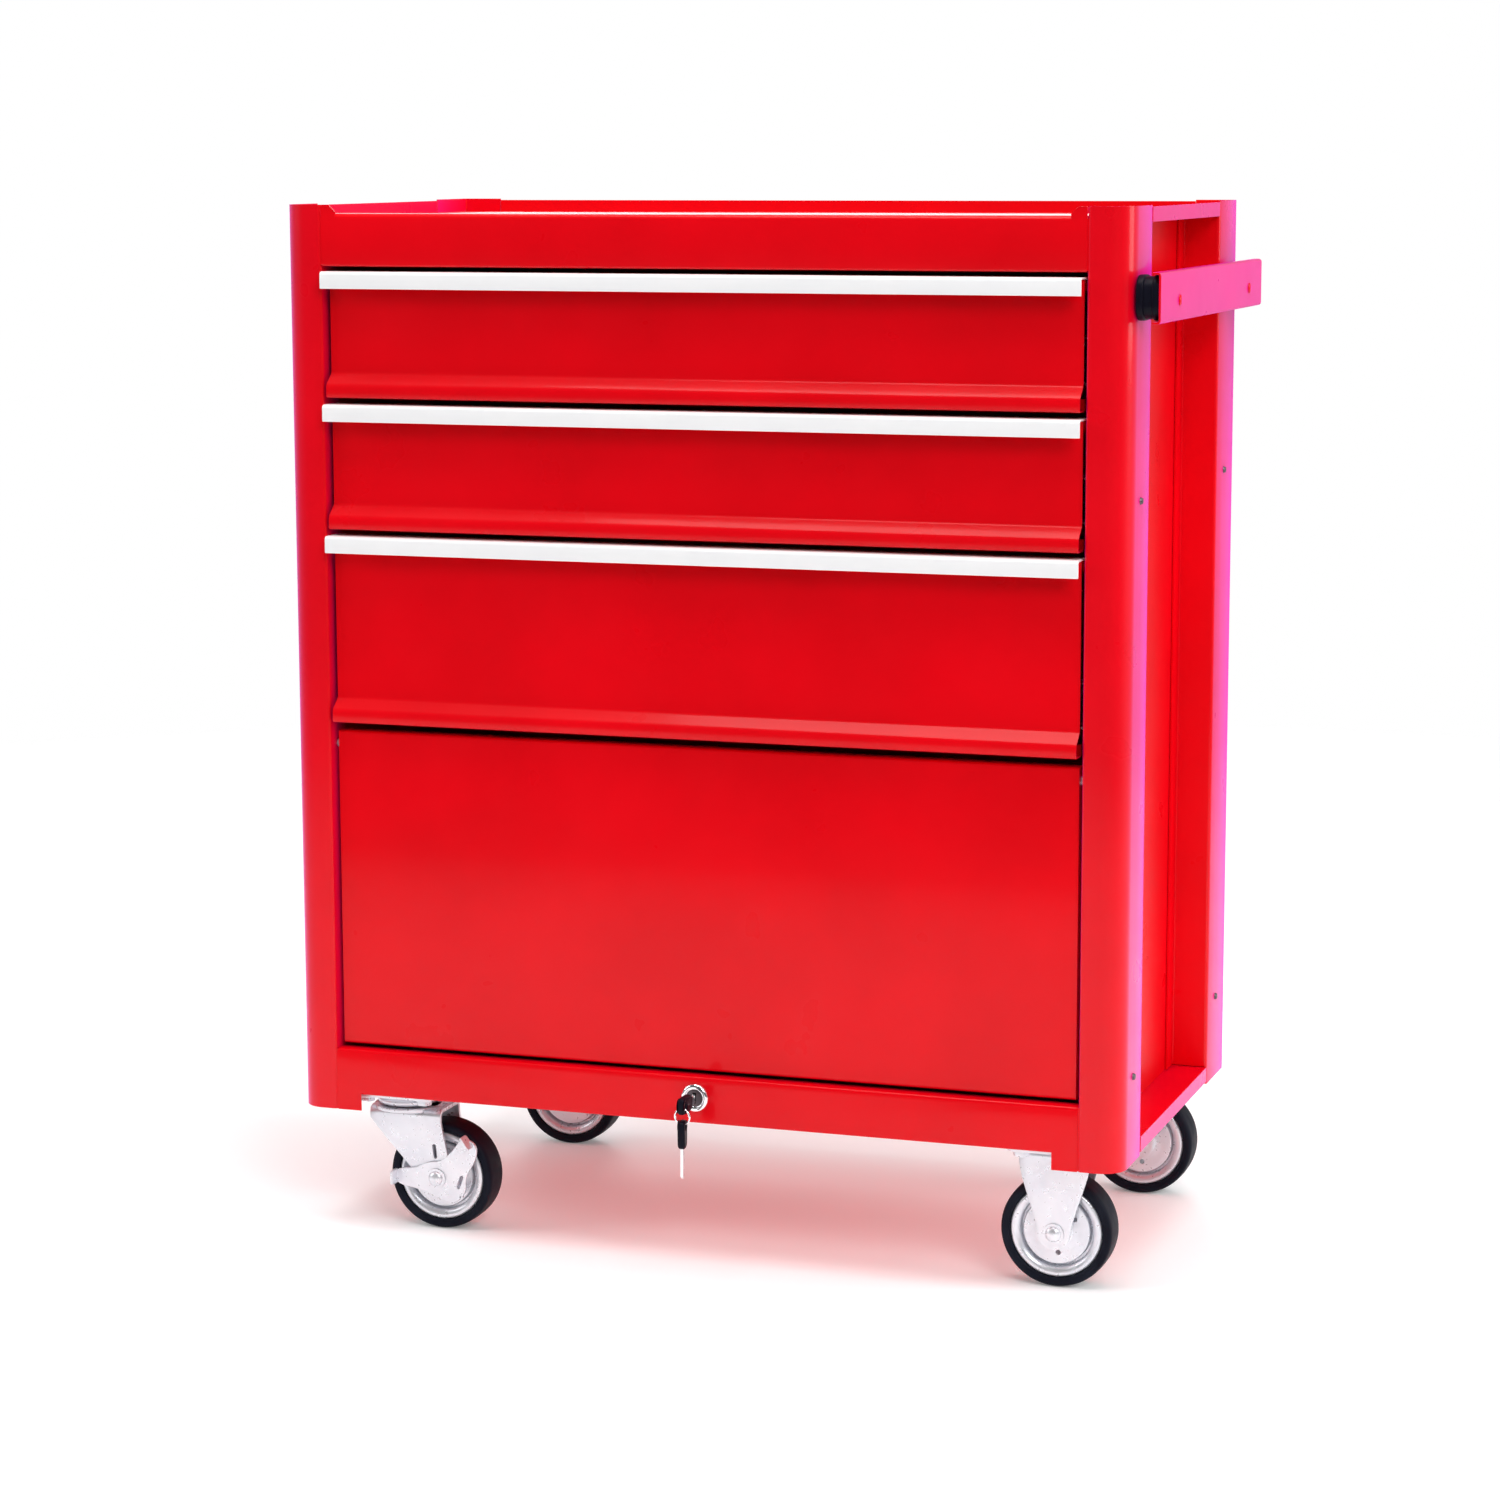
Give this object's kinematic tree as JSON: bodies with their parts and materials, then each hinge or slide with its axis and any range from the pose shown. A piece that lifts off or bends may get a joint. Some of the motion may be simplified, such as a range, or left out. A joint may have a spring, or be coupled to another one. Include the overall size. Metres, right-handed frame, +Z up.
{
  "type": "rolling tool box",
  "caption": "Red sheet-steel rolling tool cabinet with full-width drawers over a lift-up door, key lock, side push handle and fixed and swivel castors.",
  "frame": {"origin": "bottom centre of the whole cabinet's box, on the floor under it", "axes": "+Z up; +Y from the drawer fronts to the back; +X from left to right seen from the front, towards the push handle"},
  "size_m": [0.6372, 0.3694, 0.745],
  "materials": {
    "red_powder_coat": "gloss powder coat",
    "polished_aluminium": "polished",
    "zinc_plate": "bright zinc plate",
    "chrome": "polished",
    "black_rubber": "satin",
    "black_plastic": "moulded"
  },
  "bodies": {
    "cabinet": {"front_post_left": "red_powder_coat", "front_post_right": "red_powder_coat", "rear_post_left": "red_powder_coat", "rear_post_right": "red_powder_coat", "side_panel_left": "red_powder_coat", "side_panel_right": "red_powder_coat", "back_panel": "red_powder_coat", "base_pan": "red_powder_coat", "top_cover": "red_powder_coat", "handle_bar": "red_powder_coat", "handle_spacer_front": "black_plastic", "handle_spacer_rear": "black_plastic", "lock_housing": "chrome", "drawer_1_rail_left": "zinc_plate", "drawer_1_rail_right": "zinc_plate", "drawer_2_rail_left": "zinc_plate", "drawer_2_rail_right": "zinc_plate", "drawer_3_rail_left": "zinc_plate", "drawer_3_rail_right": "zinc_plate", "handle_rivet_front": "red_powder_coat", "handle_rivet_rear": "red_powder_coat", "front_rigid_fork": "zinc_plate", "rear_rigid_fork": "zinc_plate", "front_swivel_plate": "zinc_plate", "rear_swivel_plate": "zinc_plate", "front_right_axle": "zinc_plate", "rear_right_axle": "zinc_plate"},
    "drawer_1": {"drawer_1_body": "red_powder_coat", "drawer_1_trim": "polished_aluminium", "drawer_1_slide_left": "zinc_plate", "drawer_1_slide_right": "zinc_plate"},
    "drawer_2": {"drawer_2_body": "red_powder_coat", "drawer_2_trim": "polished_aluminium", "drawer_2_slide_left": "zinc_plate", "drawer_2_slide_right": "zinc_plate"},
    "drawer_3": {"drawer_3_body": "red_powder_coat", "drawer_3_trim": "polished_aluminium", "drawer_3_slide_left": "zinc_plate", "drawer_3_slide_right": "zinc_plate"},
    "door": {"door_panel": "red_powder_coat", "door_pin_left": "zinc_plate", "door_pin_right": "zinc_plate"},
    "lock": {"lock_plug": "zinc_plate", "key": "black_plastic"},
    "ring": {"key_ring": "chrome"},
    "spare": {"spare_key": "black_plastic"},
    "front_swivel": {"front_swivel_fork": "zinc_plate", "front_left_axle": "zinc_plate"},
    "front_brake": {"front_brake_lever": "zinc_plate"},
    "front_left_wheel": {"front_left_tyre": "black_rubber", "front_left_disc": "zinc_plate"},
    "front_right_wheel": {"front_right_tyre": "black_rubber", "front_right_disc": "zinc_plate"},
    "rear_swivel": {"rear_swivel_fork": "zinc_plate", "rear_left_axle": "zinc_plate"},
    "rear_brake": {"rear_brake_lever": "zinc_plate"},
    "rear_left_wheel": {"rear_left_tyre": "black_rubber", "rear_left_disc": "zinc_plate"},
    "rear_right_wheel": {"rear_right_tyre": "black_rubber", "rear_right_disc": "zinc_plate"}
  },
  "joints": [
    {"name": "drawer_1_slide", "type": "slide", "parent": "cabinet", "child": "drawer_1", "axis": [0, -1, 0], "range_m": [0, 0.24]},
    {"name": "drawer_2_slide", "type": "slide", "parent": "cabinet", "child": "drawer_2", "axis": [0, -1, 0], "range_m": [0, 0.24]},
    {"name": "drawer_3_slide", "type": "slide", "parent": "cabinet", "child": "drawer_3", "axis": [0, -1, 0], "range_m": [0, 0.24]},
    {"name": "door_hinge", "type": "hinge", "parent": "cabinet", "child": "door", "pos_m": [-0.009, -0.13731, 0.36], "axis": [-1, 0, 0], "range_deg": [0, 90]},
    {"name": "lock_turn", "type": "hinge", "parent": "cabinet", "child": "lock", "pos_m": [-0.009, -0.15131, 0.1215], "axis": [0, 1, 0], "range_deg": [0, 90]},
    {"name": "key_ring_swing", "type": "hinge", "parent": "lock", "child": "ring", "pos_m": [-0.009, -0.17831, 0.1194], "axis": [1, 0, 0], "range_deg": [-20, 10]},
    {"name": "spare_key_swing", "type": "hinge", "parent": "ring", "child": "spare", "pos_m": [-0.009, -0.17831, 0.1086], "axis": [1, 0, 0], "range_deg": [-25, 10]},
    {"name": "front_castor_swivel", "type": "hinge", "parent": "cabinet", "child": "front_swivel", "pos_m": [-0.247, -0.11331, 0.091], "axis": [0, 0, 1], "continuous": true},
    {"name": "front_brake_press", "type": "hinge", "parent": "front_swivel", "child": "front_brake", "pos_m": [-0.217, -0.11331, 0.04], "axis": [0, -1, 0], "range_deg": [0, 16]},
    {"name": "front_left_wheel_spin", "type": "hinge", "parent": "front_swivel", "child": "front_left_wheel", "pos_m": [-0.217, -0.11331, 0.04], "axis": [0, 1, 0], "continuous": true},
    {"name": "front_right_wheel_spin", "type": "hinge", "parent": "cabinet", "child": "front_right_wheel", "pos_m": [0.247, -0.11331, 0.04], "axis": [0, 1, 0], "continuous": true},
    {"name": "rear_castor_swivel", "type": "hinge", "parent": "cabinet", "child": "rear_swivel", "pos_m": [-0.247, 0.14069, 0.091], "axis": [0, 0, 1], "continuous": true},
    {"name": "rear_brake_press", "type": "hinge", "parent": "rear_swivel", "child": "rear_brake", "pos_m": [-0.217, 0.14069, 0.04], "axis": [0, -1, 0], "range_deg": [0, 16]},
    {"name": "rear_left_wheel_spin", "type": "hinge", "parent": "rear_swivel", "child": "rear_left_wheel", "pos_m": [-0.217, 0.14069, 0.04], "axis": [0, 1, 0], "continuous": true},
    {"name": "rear_right_wheel_spin", "type": "hinge", "parent": "cabinet", "child": "rear_right_wheel", "pos_m": [0.247, 0.14069, 0.04], "axis": [0, 1, 0], "continuous": true}
  ]
}
